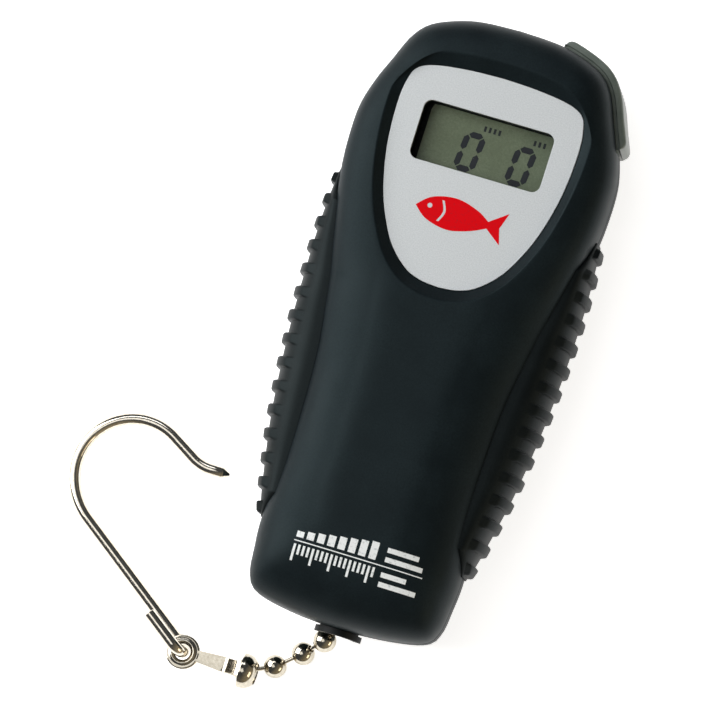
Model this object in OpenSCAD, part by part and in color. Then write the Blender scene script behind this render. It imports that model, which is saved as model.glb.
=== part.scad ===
// Digital fish scale with a ball chain and a wire hook.
// Lies on its back: +Z out of the display, +Y towards the head, z = 0 is the rest plane.

/* [Body] */
// Distance from the rest plane to the joint between the two shells
joint_z = 12; // [11.5:0.1:12.5]
// Height of the front shell above that joint
front_rise = 13; // [12.8:0.1:13.6]
// Wall thickness of both shells
wall = 2; // [1.8:0.1:2.2]
// How much thicker the head is than the foot, as a share of the front shell
head_taper = 0.03; // [0:0.01:0.05]

/* [Display] */
// Width of the window in the face plate
window_w = 27.2; // [26:0.2:28]
// Height of the window along the body
window_h = 12.3; // [11.5:0.1:13]
// Place of the window's centre along the body
window_y = 37.6; // [37:0.1:38]
// Top of the face plate above the rest plane
plate_z = 23; // [22.8:0.1:23.2]
// Thickness of the face plate
plate_t = 0.6; // [0.4:0.1:0.8]
// Height of the digits
digit_h = 8; // [6:0.5:8.5]

/* [Grips] */
// Number of ribs on each grip
ribs = 15; // [11:1:15]
// Distance from rib to rib
rib_pitch = 4.85; // [4.7:0.05:4.9]
// Height of a rib over the grip
rib_h = 0.95; // [0.5:0.05:1]

/* [Power button] */
// How far the button stands out of the shell
button_out = 1.9; // [1:0.1:2]
// Bottom of the button above the rest plane
button_low = 5.5; // [5:0.1:6]
// Top of the button above the rest plane
button_high = 18; // [17:0.1:18.2]
// Direction in which the button stands out of the corner
button_dir = 35; // [30:1:40]

/* [Ball chain] */
// Radius of a ball
ball_r = 2.38; // [2.3:0.02:2.4]
// Sheet thickness of a ball
ball_t = 0.3; // [0.25:0.05:0.3]
// Distance from ball to ball
ball_pitch = 6.2; // [6.1:0.05:6.3]
// Radius of the holes in a ball
hole_r = 0.75; // [0.7:0.05:0.8]
// Radius of a link pin
pin_r = 0.45; // [0.4:0.05:0.5]
// Radius of a link pin's round ends
pin_head_r = 0.88; // [0.85:0.01:0.9]

/* [Hook] */
// Radius of the hook's wire
wire_r = 1.22; // [1.1:0.02:1.3]
// Radius of the hook's bow, at the middle of the wire
bow_r = 11.7; // [11:0.1:12.5]
// Direction of the hook's shank, away from the eye
shank_dir = 144.4; // [143:0.1:147]
// Length of the hook's straight shank
shank_len = 31.4; // [29:0.1:33]
// Length of the bent-back end beyond the eye
return_len = 7.6; // [6:0.1:10]

/* [Batteries] */
// Radius of a cell
cell_r = 5.25; // [5:0.05:5.25]
// Length of a cell without its contact button
cell_len = 43.7; // [43:0.1:44]

/* [Hidden] */
$fn = 48;

// Right-hand half of the shells' outline at the joint, from the crown to the foot
side_points = [
    [0, 62.9], [8, 62.5], [13.5, 61.2], [18.3, 59], [21.2, 55.6], [23.4, 50.4], [25.5, 45.2],
    [27, 39.5], [27.2, 33], [26.7, 26], [24.9, 14.5], [22.9, 1.5], [21.1, -11], [20.5, -25],
    [20.5, -36], [21, -46], [20.6, -52], [19.9, -57], [17.6, -60], [10, -61.6], [0, -62.3]
];
// Outer edge of a grip between its ribs, from its head end to its foot end
grip_points = [
    [27.3, 26.6], [27.6, 23], [28.1, 14], [28.1, 4], [27.7, -6], [26.9, -16], [25.7, -26],
    [24.2, -34], [22.6, -41.5], [21.4, -45.4]
];
// Right-hand half of the face plate's outline
plate_points = [
    [0, 51.8], [7, 51.5], [13.8, 50.6], [17.3, 49], [18.5, 46], [18.9, 42], [18.7, 36], [17.9, 30],
    [16.3, 23.6], [14.3, 18.6], [11.4, 13.6], [7.4, 9.8], [3.8, 8.3], [0, 7.9]
];
body_half_w = 27.2;
body_half_l = 62.6;
plate_mid_y = 31;

// Direction of each link of the chain: turn about +Z, then rise above the rest plane
link_turn = [240, 222.4, 221.6, 206.8];
link_rise = [-33.9, -32.2, 0, 11.6];
anchor = [0, -60.4, 9.2];
gland_z = 8.9;
eye_x = -29.7;

// Point at share t between b and c on the smooth curve through a, b, c and d
function curve(a, b, c, d, t) =
    0.5 * (2 * b + (c - a) * t + (2 * a - 5 * b + 4 * c - d) * t * t + (3 * b - a - 3 * c + d) * t * t * t);
// The curve through all points of p, with n steps from each to the next
function smooth(p, n) = concat(
    [for (i = [0 : len(p) - 2], s = [0 : n - 1])
        curve(p[max(i - 1, 0)], p[i], p[i + 1], p[min(i + 2, len(p) - 1)], s / n)],
    [p[len(p) - 1]]);
// A half outline joined to its mirror image across x = 0
function both_sides(p) = concat(p, [for (i = [len(p) - 2 : -1 : 1]) [-p[i].x, p[i].y]]);
// Half width of an outline at y, as a table for lookup()
function widths(p) = [for (q = p) [q.y, q.x]];

shell_side = smooth(side_points, 2);
shell_outline = both_sides(shell_side);
grip_widths = widths(smooth(grip_points, 3));
shell_widths = widths(smooth(side_points, 4));

// The shells' outline drawn in by share u of the half width, at heights h
function shell_ring(u, h) = [
    for (p = shell_outline)
        [p.x * (1 - u), p.y * (1 - u * body_half_w / body_half_l), h]
];
// Squareness of the front face's section: flat with tight shoulders at the head, rounder at the foot
function crown(u, y) = u > 0.6 ? 4 : lookup(y, [[-62, 2.9], [5, 3.1], [26, 4.6], [63, 4.8]]);
// Height of the front face over the joint where the outline is drawn in by share u
function dome(u, y) =
    let (e = crown(u, y))
    front_rise * (1 + head_taper * y / body_half_l) * pow(1 - pow(1 - u, e), 1 / e);
function front_ring(u, drop) = [
    for (p = shell_ring(u, 0)) [p.x, p.y, joint_z + max(dome(u, p.y) - drop, 0)]
];
// Height of the back where the outline is drawn in by share u
function back(u) = u >= 0.2 ? 0 : joint_z * (1 - pow(1 - pow(1 - u / 0.2, 2.6), 1 / 2.6));

// Centre of ball i, counted from the anchor ball at 0
function link_dir(i) = [
    cos(link_rise[i]) * cos(link_turn[i]),
    cos(link_rise[i]) * sin(link_turn[i]),
    sin(link_rise[i])
];
function ball_at(i) = i == 0 ? anchor : ball_at(i - 1) + ball_pitch * link_dir(i - 1);
eye = [eye_x, ball_at(4).y, ball_at(4).z];

// Takes what it holds as one closed mesh: the shells' domes are smooth skins with no fits
module skin() {
    resize([0, 0, 0]) children();
}

// Closed solid through a list of rings with the same number of points
module loft(rings) {
    n = len(rings[0]);
    m = len(rings);
    polyhedron(
        [for (r = rings) each r],
        concat(
            [[for (j = [0 : n - 1]) j]],
            [for (i = [0 : m - 2], j = [0 : n - 1]) [i * n + j, (i + 1) * n + j, (i + 1) * n + (j + 1) % n]],
            [for (i = [0 : m - 2], j = [0 : n - 1]) [i * n + j, (i + 1) * n + (j + 1) % n, i * n + (j + 1) % n]],
            [[for (j = [n - 1 : -1 : 0]) (m - 1) * n + j]]
        )
    );
}

// Turns +Z to the direction given by a turn about +Z and a rise
module aim(turn, rise) {
    rotate([0, 90 - rise, turn]) children();
}

module box(size, at) {
    translate(at - [size.x / 2, size.y / 2, 0]) cube(size);
}

// Underside of the seat that carries the face plate and the lens
seat_z = 20.8;
// Place of the screws that hold the circuit board, on both sides
board_post = [15.5, 13];
// Places of the four screws that hold the shells together
screw_spots = [[22, 30], [-22, 30], [13.5, -52], [-13.5, -52]];

// Outline of the band from the crown to the side, between two distances from the shells' outline
band_first = 2;
band_last = 12;
function outward(i) =
    let (d = shell_side[i + 1] - shell_side[i - 1])
    [-d.y, d.x] / norm(d);
function along(i) = [outward(i).y, -outward(i).x];
// grow lengthens both ends; ends is the outer distance there
function band_point(i, out, grow) =
    shell_side[i] + outward(i) * out
        + along(i) * (i == band_first ? -grow : i == band_last ? grow : 0);
function band(inner, outer, ends, grow = 0) = concat(
    [for (i = [band_first : band_last])
        band_point(i, i == band_first || i == band_last ? ends : outer, grow)],
    [for (i = [band_last : -1 : band_first]) band_point(i, inner, grow)]);

module plate_shape() {
    polygon(both_sides(smooth(plate_points, 3)));
}

module window_shape(grow) {
    offset(r = 1.7) square([window_w - 3.4 + 2 * grow, window_h - 3.4 + 2 * grow], center = true);
}

module button_slot() {
    translate([0, 0, button_low - 0.3])
        linear_extrude(button_high - button_low + 0.6) polygon(band(-wall - 1.2, 6, 6, 0.5));
}

// Front half of the housing: a domed shell with a dish and a window in its head
module front_shell() {
    outer = [0.72, 0.5, 0.33, 0.2, 0.11, 0.05, 0.015, 0];
    inner = [0.078, 0.12, 0.2, 0.36, 0.7];
    color("#20272a")
    skin() difference() {
        union() {
            loft(concat(
                [for (u = outer) front_ring(u, 0)],
                [shell_ring(inner[0], joint_z)],
                [for (u = [for (i = [1 : 4]) inner[i]]) front_ring(u, wall)]));
            for (s = screw_spots)
                translate([s.x, s.y, joint_z]) cylinder(h = 9, r = 2.6, $fn = 24);
            for (x = [-board_post.x, board_post.x])
                translate([x, board_post.y, board_z + 1.65]) cylinder(h = 7, r = 2.2, $fn = 24);
            translate([0, 0, seat_z]) linear_extrude(1.8) plate_shape();
        }
        for (x = [-board_post.x, board_post.x])
            translate([x, board_post.y, board_z]) cylinder(h = 5, r = 1, $fn = 16);
        for (s = screw_spots)
            translate([s.x, s.y, joint_z - 1]) cylinder(h = 8, r = 1.05, $fn = 16);
        translate([0, plate_mid_y, plate_z - plate_t])
            linear_extrude(plate_t) offset(delta = 0.15) translate([0, -plate_mid_y]) plate_shape();
        translate([0, plate_mid_y, plate_z - 0.02])
            linear_extrude(3, scale = 1.38) offset(delta = 0.15) translate([0, -plate_mid_y]) plate_shape();
        translate([0, window_y, joint_z]) linear_extrude(20) window_shape(0);
        button_slot();
        translate([0, -50, gland_z]) rotate([90, 0, 0]) cylinder(h = 20, r = 4.1);
    }
}

// Rear half of the housing with the battery bay, the screw posts and the load cell's bed
module rear_shell() {
    inner = [0.22, 0.17, 0.13, 0.1, 0.078];
    floor_z = [wall, 2.6, 4, 6.5, joint_z];
    outer = [0, 0.007, 0.025, 0.055, 0.1, 0.15, 0.2];
    color("#1c2225")
    skin() difference() {
        union() {
            loft(concat(
                [for (i = [0 : 4]) shell_ring(inner[i], floor_z[i])],
                [for (u = outer) shell_ring(u, back(u))]));
            for (s = screw_spots)
                translate([s.x, s.y, 1]) cylinder(h = joint_z - 1, r = 3.2, $fn = 24);
            box([13, 11, 4.2], [0, -22, 1]);
            for (x = [-13.6, 13.6])
                box([1.2, 50.6, 9.7], [x, 26.2, 1]);
            for (y = [0.9, 51.5])
                box([28.4, 1.2, 9.7], [0, y, 1]);
        }
        for (s = screw_spots) {
            translate([s.x, s.y, -1]) cylinder(h = 14, r = 1.3, $fn = 16);
            translate([s.x, s.y, -1]) cylinder(h = 4.5, r = 2.4, $fn = 24);
        }
        box([24.6, 47.2, 4], [0, 26.2, -1]);
        box([26, 48.6, 1.4], [0, 26.2, 1.2]);
        for (y = [-23.7, 23.7])
            box([6.6, 1.6, 4], [0, 26.2 + y, -1]);
        for (y = [-25, -19])
            translate([0, y, 1.8]) cylinder(h = 5, r = 1.2);
        button_slot();
        translate([0, -50, gland_z]) rotate([90, 0, 0]) cylinder(h = 20, r = 4.1);
    }
}

// Collar where the chain leaves the foot, hooded above and cut back below to let the chain hang
module chain_gland() {
    color("#15191b")
    translate([0, -60, gland_z])
        rotate([90, 0, 0])
            difference() {
                union() {
                    cylinder(h = 2.5, r = 4.05);
                    translate([0, 0, 2.4]) cylinder(h = 1.2, r = 4.85);
                }
                translate([-6, -5.5, 1.6]) cube([12, 5.5, 3]);
                translate([0, 0, -1]) cylinder(h = 6, r = 2.9);
                translate([0, 0, 2.4]) cylinder(h = 1.3, r = 3.3);
            }
}

// Brushed silver plate around the window
module face_plate() {
    color("#cfd4d6")
    translate([0, 0, plate_z - plate_t])
        linear_extrude(plate_t)
            difference() {
                plate_shape();
                translate([0, window_y]) window_shape(0);
            }
}

// Clear lens behind the window
lens_z = seat_z - 0.9;
module window_lens() {
    color("#c8d0d0", 0.35)
    box([30, 15, 0.9], [0, window_y, lens_z]);
}

// Liquid crystal cell: the larger lower glass and the smaller upper one
module lcd_glass() {
    color("#77806c")
    union() {
        box([29.6, 14.8, 0.7], [0, window_y, lens_z - 1.35]);
        box([29.6, 13, 0.56], [0, window_y + 0.4, lens_z - 0.66]);
    }
}

// Seven thin bars of one digit, sheared a little to the right
module digit(w, h, bar) {
    multmatrix([[1, 0.09, 0, 0], [0, 1, 0, 0], [0, 0, 1, 0]]) {
        for (x = [0, w - bar], y = [bar + 0.2, h / 2 + 0.2])
            translate([x, y, 0]) cube([bar, h / 2 - bar - 0.3, 0.06]);
        for (y = [0, h - bar])
            translate([bar + 0.2, y, 0]) cube([w - 2 * bar - 0.4, bar, 0.06]);
    }
}

// Dark segments shown on the cell
module lcd_digits() {
    color("#20262b")
    for (x = [-4.7, 6])
        translate([x, window_y - 5.6, lens_z - 0.1]) digit(4.2, digit_h, 0.95);
}

// Black frame that holds the cell over the board
module lcd_frame() {
    color("#111416")
    difference() {
        box([32.4, 17.6, 3.5], [0, window_y, 16.2]);
        box([29.8, 15, 8], [0, window_y, 15]);
    }
}

// Two conductive rubber strips between the board and the cell
module zebra_strips() {
    color("#c9a4a0")
    for (y = [-6.2, 6.2])
        box([28, 2, 2.2], [0, window_y + y, 16.2]);
}

// Circuit board
board_z = 14.6;
module main_board() {
    color("#1f6b45")
    difference() {
        translate([0, 0, board_z])
            linear_extrude(1.6)
                polygon([[-14, 50.5], [15, 51], [19, 43], [18.5, 14], [15, 8], [-15, 8], [-18.5, 14], [-18.5, 41]]);
        for (x = [-board_post.x, board_post.x])
            translate([x, board_post.y, 10]) cylinder(h = 10, r = 1.2);
    }
}

// The converter and display driver, on the face side of the board
module board_chip() {
    color("#17191b")
    box([9, 9, 1.4], [0, 20, board_z + 1.6]);
}

// Capacitors, resistors and the crystal
module board_parts() {
    color("#b89a6a")
    union() {
        for (x = [-9, -11.5, 9, 11.5], y = [17, 20, 23])
            box([1.2, 2, 0.7], [x, y, board_z + 1.6]);
        box([8, 3, 2], [0, 27, board_z + 1.6]);
    }
}

// Side-acting switch under the board's corner, facing the power button
switch_at = [17.2, 49.2];
module tact_switch() {
    color("#2b2f33")
    translate([switch_at.x, switch_at.y, board_z - 3.7])
        rotate(button_dir)
            union() {
                translate([-4, -3, 0]) cube([4, 6, 3.6]);
                translate([-0.2, 0, 1.8]) rotate([0, 90, 0]) cylinder(h = 0.95, r = 1.2);
            }
}

module screw(length, r, head_r, head_h) {
    difference() {
        union() {
            cylinder(h = head_h, r = head_r);
            cylinder(h = length, r = r);
        }
        for (a = [0, 90])
            rotate(a) translate([-head_r * 0.6, -0.25, -1]) cube([head_r * 1.2, 0.5, 1.7]);
    }
}

// Two screws that hold the board against the front shell's posts
module board_screws() {
    color("#b9bcbd")
    for (x = [-board_post.x, board_post.x])
        translate([x, board_post.y, board_z - 1.3]) screw(4.4, 0.95, 2, 1.25);
}

// Curved push bar around one corner of the head, held by a lip that runs on behind the slot's ends
lip_h = button_high - button_low - 2.2;
module power_button() {
    color("#5f6863")
    union() {
        translate([0, 0, button_low])
            linear_extrude(button_high - button_low) polygon(band(-wall - 0.2, button_out, 0.3));
        translate([0, 0, button_low + 1])
            linear_extrude(lip_h) polygon(band(-wall - 2.3, -wall - 1.4, -wall - 1.4, 1));
        translate([0, 0, button_low + 1])
            linear_extrude(lip_h) polygon(band(-wall - 1.8, -wall, -wall));
        translate([switch_at.x, switch_at.y, board_z - 1.9])
            rotate([0, 90, button_dir])
                translate([0, 0, 1.65]) cylinder(h = 1.2, r = 1.1);
    }
}

// Height of the ribs over the grip at y: rounded bars at an even pitch
first_rib = 24.3;
rib_w = 2.3;
function rib(y) =
    let (k = round((first_rib - y) / rib_pitch), d = abs(y - first_rib + k * rib_pitch))
    k < 0 || k >= ribs || d > rib_w / 2 ? 0 : rib_h * min(1, (rib_w / 2 - d) / 0.3);
// Section across the grip at y
grip_mid_z = 10.8;
function grip_ring(y, side) =
    let (
        x0 = lookup(y, shell_widths) + 0.06,
        x1 = max(lookup(y, grip_widths) + rib(y), x0 + 0.25),
        half_h = 8.9 * min(1, 0.35 + (x1 - x0) / 3.2)
    )
    [for (a = [-90 : 20 : 90.1])
        [side * (x0 + (x1 - x0) * pow(cos(a), 0.55)), y, grip_mid_z + half_h * sin(a)]];
// Where the sections lie: four to a rib
grip_stations = concat(
    [26.4],
    [for (k = [0 : ribs - 1], e = [rib_w / 2, rib_w / 2 - 0.3, -rib_w / 2 + 0.3, -rib_w / 2])
        first_rib - k * rib_pitch + e],
    [-45.3]);

module grip(side) {
    stations = side > 0 ? grip_stations : [for (i = [len(grip_stations) - 1 : -1 : 0]) grip_stations[i]];
    loft([for (y = stations) grip_ring(y, side)]);
}

// Ribbed rubber pads on the two sides
module left_grip() {
    color("#16191a") grip(-1);
}
module right_grip() {
    color("#16191a") grip(1);
}

// Snap-in cover of the battery bay, flush with the back
module battery_door() {
    color("#1c2225")
    union() {
        box([24, 46.6, 1.5], [0, 26.2, 0]);
        box([24, 46.6, 0.9], [0, 26.2, 1.5 - 0.1]);
        for (y = [-23.7, 23.7])
            box([6, 1, 0.8], [0, 26.2 + y, 1.45]);
    }
}

// One cell: a plain can with its contact button
cell_z = 7.75;
cell_y = 26.2;
module cell(x, way) {
    translate([x, cell_y, cell_z])
        rotate([90 * way, 0, 0])
            union() {
                translate([0, 0, -cell_len / 2]) cylinder(h = cell_len, r = cell_r);
                translate([0, 0, cell_len / 2 - 0.1]) cylinder(h = 0.9, r = 1.9);
            }
}
module battery_a() {
    color("#a87c3a") cell(-5.5, 1);
}
module battery_b() {
    color("#a87c3a") cell(5.5, -1);
}

// Negative contacts, drawn as closed coils
module battery_springs() {
    color("#c9c6bd")
    for (x = [-5.5, 5.5])
        translate([x, cell_y + (x < 0 ? 1 : -1) * (cell_len / 2 + 0.6), cell_z])
            rotate([90, 0, 0])
                difference() {
                    cylinder(h = 1, r = 3.2, center = true);
                    cylinder(h = 2, r = 2.3, center = true);
                }
}

// Sheet contacts behind the cells' ends
module battery_tabs() {
    color("#c9c6bd")
    union() {
        for (y = [1.75, 50.65])
            for (x = [-5.5, 5.5])
                translate([x - 4, y - 0.25, 3]) cube([8, 0.5, 8]);
        translate([-5.5, 50.4, 9]) cube([11, 0.5, 2]);
    }
}

// Direction of a route at its point i
function heading(route, i) =
    let (d = route[min(i + 1, len(route) - 1)] - route[max(i - 1, 0)])
    d / norm(d);
// Sideways directions along a route, each turned as little as possible from the one before
function sideways(route, n, i = 0) =
    i == len(route) ? [] :
    let (t = heading(route, i), m = n - (n * t) * t)
    concat([m / norm(m)], sideways(route, m / norm(m), i + 1));
// Round bar along a route: one skin, with a radius for each point
module sweep(route, radii, sides) {
    side = sideways(route, [0.1, 0.2, 1]);
    loft([
        for (i = [0 : len(route) - 1])
            [for (a = [0 : 360 / sides : 359])
                route[i] + radii[i] * (cos(a) * side[i] + sin(a) * cross(heading(route, i), side[i]))]
    ]);
}
module lead(route, r) {
    sweep(route, [for (p = route) r], 8);
}

// Two leads from the sheet contacts up to the board
module battery_leads() {
    color("#a02a24")
    for (side = [-1, 1])
        lead([[side * 8, 1.75, 11.6], [side * 9.5, -0.5, 12.6], [side * 12, 5, 13.9], [side * 12, 10.3, 14]], 0.5);
}

// Aluminium load cell with its two cross bores
beam_z = 5.2;
module load_beam() {
    color("#aeb4b8")
    difference() {
        box([12, 38, 8], [0, -35, beam_z]);
        for (y = [-39, -31])
            translate([-10, y, beam_z + 4]) rotate([0, 90, 0]) cylinder(h = 20, r = 3.1);
        translate([-10, -39, beam_z + 3]) cube([20, 8, 2]);
        for (y = [-25, -19])
            translate([0, y, 0]) cylinder(h = 20, r = 1.5);
        for (y = [-51, -46.6])
            translate([0, y, beam_z + 4]) cylinder(h = 20, r = 1.25);
    }
}

// Foil gauges on the beam's thin webs
module strain_gauges() {
    color("#c77b3a")
    for (y = [-39, -31])
        box([6, 5, 0.25], [0, y, beam_z + 8]);
}

module beam_screws() {
    color("#8f9497")
    union() {
        for (y = [-25, -19])
            translate([0, y, beam_z + 9.6]) mirror([0, 0, 1]) screw(12.5, 1.15, 2.4, 1.6);
        for (y = [-51, -46.6])
            translate([0, y, beam_z + 11.2]) mirror([0, 0, 1]) screw(6, 1.2, 2, 1.6);
    }
}

// Steel bracket from the beam's free end to the anchor ball
module load_link() {
    color("#9a9ea1")
    difference() {
        union() {
            box([9, 12.4, 1.5], [0, -50.9, beam_z + 8.05]);
            box([9, 1.5, 9.3], [0, -56.4, beam_z + 0.2]);
        }
        for (y = [-51, -46.6])
            translate([0, y, beam_z]) cylinder(h = 20, r = 1.3);
        translate([0, -50, anchor.z]) rotate([90, 0, 0]) cylinder(h = 10, r = 0.6);
    }
}

// Lead from the gauges to the board
module cell_lead() {
    color("#c9c9c4")
    lead([[4, -30, 13.9], [7.5, -22, 16.8], [7.5, -6, 16.8], [6, 7.4, 15.4]], 0.75);
}

// Four screws from the back into the front shell's posts
module case_screws() {
    color("#b9bcbd")
    for (s = screw_spots)
        translate([s.x, s.y, 1.2]) screw(15.5, 1.03, 2.2, 1.8);
}

// Rivet that holds the anchor ball on the bracket
module anchor_rivet() {
    color("#b6b8b8")
    translate([0, anchor.y, anchor.z])
        rotate([-90, 0, 0])
            union() {
                translate([0, 0, 1.15]) cylinder(h = 3.9, r = 0.5);
                translate([0, 0, 4.9]) cylinder(h = 0.6, r = 1.4);
                translate([0, 0, 1.3]) sphere(r = pin_head_r);
            }
}

// Hollow ball i with a hole towards each of its pins
module ball(i) {
    translate(ball_at(i))
        difference() {
            sphere(r = ball_r);
            sphere(r = ball_r - ball_t);
            if (i > 0)
                aim(link_turn[i - 1] + 180, -link_rise[i - 1]) cylinder(h = 4, r = hole_r);
            else
                rotate([-90, 0, 0]) cylinder(h = 4, r = hole_r);
            if (i < 4)
                aim(link_turn[i], link_rise[i]) cylinder(h = 4, r = hole_r);
        }
}

// Dumb-bell pin of link i, from ball i to the next one
pin_reach = ball_pitch / 2 - 0.93;
module link_pin(i) {
    translate((ball_at(i) + ball_at(i + 1)) / 2)
        aim(link_turn[i], link_rise[i])
            rotate_extrude()
                intersection() {
                    union() {
                        translate([0, -pin_reach]) square([pin_r, 2 * pin_reach]);
                        for (y = [-pin_reach, pin_reach])
                            translate([0, y]) circle(r = pin_head_r);
                    }
                    translate([0, -10]) square([10, 20]);
                }
}

module anchor_ball() {
    color("#c3bfb6") ball(0);
}
module link_pin_1() {
    color("#b6b8b8") link_pin(0);
}
module chain_ball_1() {
    color("#c3bfb6") ball(1);
}
module link_pin_2() {
    color("#b6b8b8") link_pin(1);
}
module chain_ball_2() {
    color("#c3bfb6") ball(2);
}
module link_pin_3() {
    color("#b6b8b8") link_pin(2);
}
module chain_ball_3() {
    color("#c3bfb6") ball(3);
}
module link_pin_4() {
    color("#b6b8b8") link_pin(3);
}
module end_ball() {
    color("#c3bfb6") ball(4);
}

// Sheet bell over the end ball, open towards the eye
bell_r = 3.6;
bell_t = 0.35;
module bell_profile(r) {
    intersection() {
        scale([1, 0.82]) circle(r = r);
        square([10, 10]);
    }
}
module bell_cup() {
    color("#c9c5bc")
    translate(ball_at(4))
        rotate([0, 90, 0])
            rotate_extrude()
                difference() {
                    union() {
                        bell_profile(bell_r);
                        translate([bell_r - bell_t, -0.7]) square([bell_t, 0.8]);
                    }
                    bell_profile(bell_r - bell_t);
                    square([2.15, 10]);
                }
}

// Folded sheet strap: two layers that hold the end ball and end in two stacked eyes
strap_t = 0.38;
strap_w = 2.9;
eye_r = 3.5;
eye_hole_r = 2;
module strap_half() {
    reach = ball_at(4).x - eye_x;
    union() {
        rotate([90, 0, 0])
            linear_extrude(strap_w, center = true)
                polygon([
                    [-reach + eye_r - 0.5, 0.1], [-4.9, 0.1], [-2.4, 2.45], [0, 2.5], [0, 2.5 + strap_t],
                    [-2.6, 2.45 + strap_t], [-5.1, 0.1 + strap_t], [-reach + eye_r - 0.5, 0.1 + strap_t]
                ]);
        translate([-reach, 0, 0.1])
            difference() {
                cylinder(h = strap_t, r = eye_r);
                translate([0, 0, -1]) cylinder(h = 3, r = eye_hole_r);
            }
    }
}
module eye_strap() {
    color("#c9c5bc")
    translate(ball_at(4))
        union() {
            strap_half();
            mirror([0, 0, 1]) strap_half();
            translate([-6.4, -strap_w / 2, -0.2]) cube([1.2, strap_w, 0.4]);
        }
}

// Wire hook: bent-back end through the eye, shank, bow of two arcs, reverse bend and point
hook_z = wire_r + 0.05;
turn_r = 2.48;
low_bow_r = 14;
low_bow_from = 192;
tip_slope = 30.5;
slope_len = 5.9;
tip_len = 2.5;
cone_len = 1.5;
back_bend_r = 8;
lift = 2 * (eye.z - hook_z);
tilt = acos(lift / (2 * turn_r));
function arc(centre, r, from, to, n) =
    [for (i = [0 : n]) let (a = from + (to - from) * i / n) centre + r * [cos(a), sin(a), 0]];
module hook() {
    away = [cos(shank_dir), sin(shank_dir), 0];
    inward = [sin(shank_dir), -cos(shank_dir), 0];
    // The turn's middle, back from the eye along the shank
    turn_at = eye + turn_r * away;
    across = turn_r * sin(tilt) * inward - [0, 0, lift / 2];
    shank_end = turn_at + across + shank_len * away;
    low_bow_at = shank_end + low_bow_r * inward;
    bow_at = low_bow_at + (low_bow_r - bow_r) * [cos(low_bow_from), sin(low_bow_from), 0];
    bend_end = bow_at + bow_r * [sin(tip_slope), cos(tip_slope), 0]
        + slope_len * [cos(tip_slope), -sin(tip_slope), 0];
    back_bend_at = bend_end + back_bend_r * [sin(tip_slope), cos(tip_slope), 0];
    tip = back_bend_at + [tip_len, -back_bend_r, 0];
    route = concat(
        [turn_at - across + return_len * away],
        [for (a = [0 : 18 : 180]) turn_at - across * cos(a) - turn_r * sin(a) * away],
        arc(low_bow_at, low_bow_r, shank_dir + 90, low_bow_from, 6),
        arc(bow_at, bow_r, low_bow_from - 6, 90 - tip_slope, 18),
        arc(back_bend_at, back_bend_r, 270 - tip_slope, 270, 5),
        [tip, tip + [cone_len, 0, 0]]
    );
    color("#c6c2b8")
    sweep(route, [for (i = [0 : len(route) - 1]) i == len(route) - 1 ? 0.3 : wire_r], 16);
}

front_shell();
rear_shell();
chain_gland();
face_plate();
window_lens();
lcd_glass();
lcd_digits();
lcd_frame();
zebra_strips();
main_board();
board_chip();
board_parts();
tact_switch();
board_screws();
power_button();
left_grip();
right_grip();
battery_door();
battery_a();
battery_b();
battery_springs();
battery_tabs();
battery_leads();
load_beam();
strain_gauges();
beam_screws();
load_link();
cell_lead();
case_screws();
anchor_rivet();
anchor_ball();
link_pin_1();
chain_ball_1();
link_pin_2();
chain_ball_2();
link_pin_3();
chain_ball_3();
link_pin_4();
end_ball();
bell_cup();
eye_strap();
hook();
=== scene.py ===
import math

import bmesh
import bpy
import numpy as np
from mathutils import Matrix, Vector


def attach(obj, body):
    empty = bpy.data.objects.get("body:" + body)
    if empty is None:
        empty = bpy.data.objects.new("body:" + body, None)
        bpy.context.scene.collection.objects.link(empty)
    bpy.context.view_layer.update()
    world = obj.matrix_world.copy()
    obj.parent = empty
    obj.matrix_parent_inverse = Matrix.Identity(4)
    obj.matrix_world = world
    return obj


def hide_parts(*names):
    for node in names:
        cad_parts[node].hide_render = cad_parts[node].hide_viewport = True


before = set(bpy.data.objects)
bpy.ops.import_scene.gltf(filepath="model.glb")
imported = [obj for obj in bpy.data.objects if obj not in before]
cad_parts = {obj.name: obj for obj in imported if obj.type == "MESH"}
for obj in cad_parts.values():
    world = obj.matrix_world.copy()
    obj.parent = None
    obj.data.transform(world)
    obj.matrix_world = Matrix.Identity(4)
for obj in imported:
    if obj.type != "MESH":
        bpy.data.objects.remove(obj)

scene = bpy.context.scene
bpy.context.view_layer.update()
MM = 0.001


# ---- Camera ----
# The scale lies on its back and is seen from almost straight above, a little from its right-hand
# side and its foot, through a long lens. The body leans to the right by 17.6 degrees in the frame.
to_camera = Vector((0.148, -0.1045, 0.983)).normalized()
level = Vector((0.983, 0, -0.148)).normalized()
upright = to_camera.cross(level)
lean = math.radians(17.6)
view_right = level * math.cos(lean) + upright * math.sin(lean)
view_up = upright * math.cos(lean) - level * math.sin(lean)
view_middle = Vector((1.47, 0, 12)) * MM - view_right * 16.4 * MM - view_up * 5.7 * MM
turned_to_view = Matrix((view_right, view_up, to_camera)).transposed().to_4x4()

camera = bpy.data.objects.new("camera", bpy.data.cameras.new("camera"))
camera.data.lens = 303
camera.data.sensor_width = 36
camera.data.sensor_fit = "HORIZONTAL"
camera.data.clip_end = 20
camera.matrix_world = Matrix.Translation(view_middle + to_camera * 1.2) @ turned_to_view
scene.collection.objects.link(camera)
scene.camera = camera
scene.view_settings.view_transform = "Standard"


# ---- Floor and light ----
# A white paper sweep under the scale, a large soft box up and to the left of it, weaker ones at the
# top and on the right that warm the metal, and a dim room that leaves the black plastic dark.
def linear(code):
    """Linear colour of an sRGB hex code."""
    parts = [int(code[i:i + 2], 16) / 255 for i in (1, 3, 5)]
    return [*[c / 12.92 if c <= 0.04045 else ((c + 0.055) / 1.055) ** 2.4 for c in parts], 1]


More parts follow.
